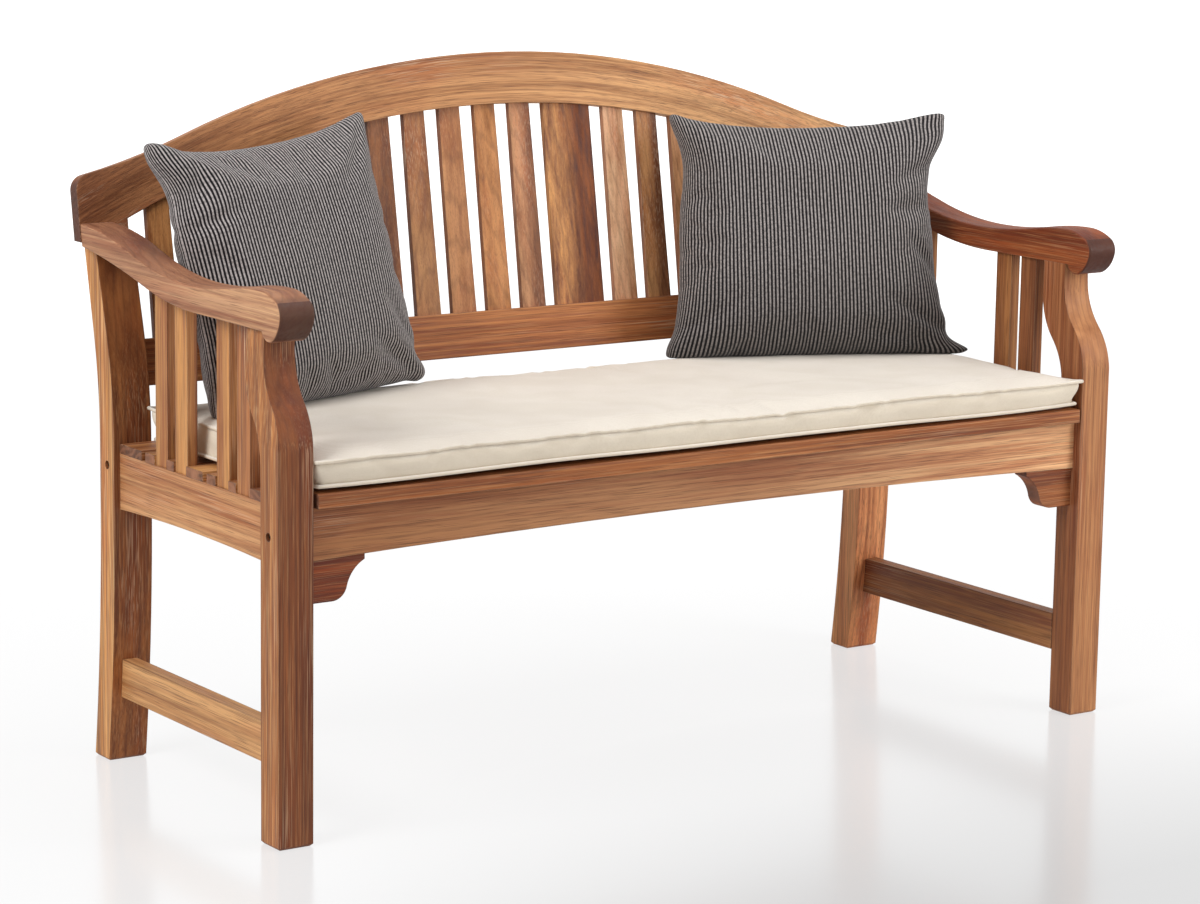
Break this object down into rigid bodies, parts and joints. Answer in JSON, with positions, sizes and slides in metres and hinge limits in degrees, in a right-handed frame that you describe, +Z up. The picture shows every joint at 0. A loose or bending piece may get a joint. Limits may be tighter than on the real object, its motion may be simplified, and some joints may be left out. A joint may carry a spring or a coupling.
{
  "type": "patio loveseat",
  "caption": "Hardwood garden loveseat with an arched slatted back, scrolled arms, a slatted seat, a loose box cushion and loose knife-edge throw pillows",
  "frame": {"origin": "Centre of the bounding box in plan, on the floor under the feet.", "axes": "+X along the seat towards the right arm as the sitter's view from the front shows it, +Y from the front legs to the back, +Z up."},
  "size_m": [1.262, 0.5502, 0.8694],
  "materials": {
    "hardwood": "oiled, weathered",
    "cushion_fabric": "matt canvas",
    "striped_fabric": "matt seersucker, narrow stripes",
    "fastener_steel": "dull"
  },
  "bodies": {
    "bench_frame": {"back_slat_01": "hardwood", "back_slat_02": "hardwood", "back_slat_03": "hardwood", "back_slat_04": "hardwood", "back_slat_05": "hardwood", "back_slat_06": "hardwood", "back_slat_07": "hardwood", "back_slat_08": "hardwood", "back_slat_09": "hardwood", "back_slat_10": "hardwood", "back_slat_11": "hardwood", "back_slat_12": "hardwood", "back_slat_13": "hardwood", "back_slat_14": "hardwood", "back_slat_15": "hardwood", "back_slat_16": "hardwood", "back_slat_17": "hardwood", "back_slat_18": "hardwood", "barrel_nuts": "fastener_steel", "frame_bolts": "fastener_steel", "front_apron": "hardwood", "left_arm": "hardwood", "left_arm_baluster_1": "hardwood", "left_arm_baluster_2": "hardwood", "left_arm_baluster_3": "hardwood", "left_arm_baluster_4": "hardwood", "left_back_leg": "hardwood", "left_corner_bracket": "hardwood", "left_front_leg": "hardwood", "left_side_rail": "hardwood", "left_stretcher": "hardwood", "lower_back_rail": "hardwood", "rear_seat_rail": "hardwood", "right_arm": "hardwood", "right_arm_baluster_1": "hardwood", "right_arm_baluster_2": "hardwood", "right_arm_baluster_3": "hardwood", "right_arm_baluster_4": "hardwood", "right_back_leg": "hardwood", "right_corner_bracket": "hardwood", "right_front_leg": "hardwood", "right_side_rail": "hardwood", "right_stretcher": "hardwood", "seat_bearer": "hardwood", "seat_nosing": "hardwood", "seat_slat_1": "hardwood", "seat_slat_2": "hardwood", "seat_slat_3": "hardwood", "seat_slat_4": "hardwood", "seat_slat_5": "hardwood", "seat_slat_6": "hardwood", "seat_slat_7": "hardwood", "top_rail": "hardwood", "wide_back_splat": "hardwood"},
    "seat_cushion": {"seat_cushion": "cushion_fabric"},
    "left_pillow": {"left_pillow": "striped_fabric"},
    "right_pillow": {"right_pillow": "striped_fabric"}
  },
  "joints": [
    {"name": "lift_off_cushion", "type": "slide", "parent": "bench_frame", "child": "seat_cushion", "axis": [0, 0, 1], "range_m": [0, 0.4]},
    {"name": "lift_off_left_pillow", "type": "slide", "parent": "seat_cushion", "child": "left_pillow", "axis": [0, 0, 1], "range_m": [0, 0.4]},
    {"name": "lift_off_right_pillow", "type": "slide", "parent": "seat_cushion", "child": "right_pillow", "axis": [0, 0, 1], "range_m": [0, 0.4]}
  ]
}
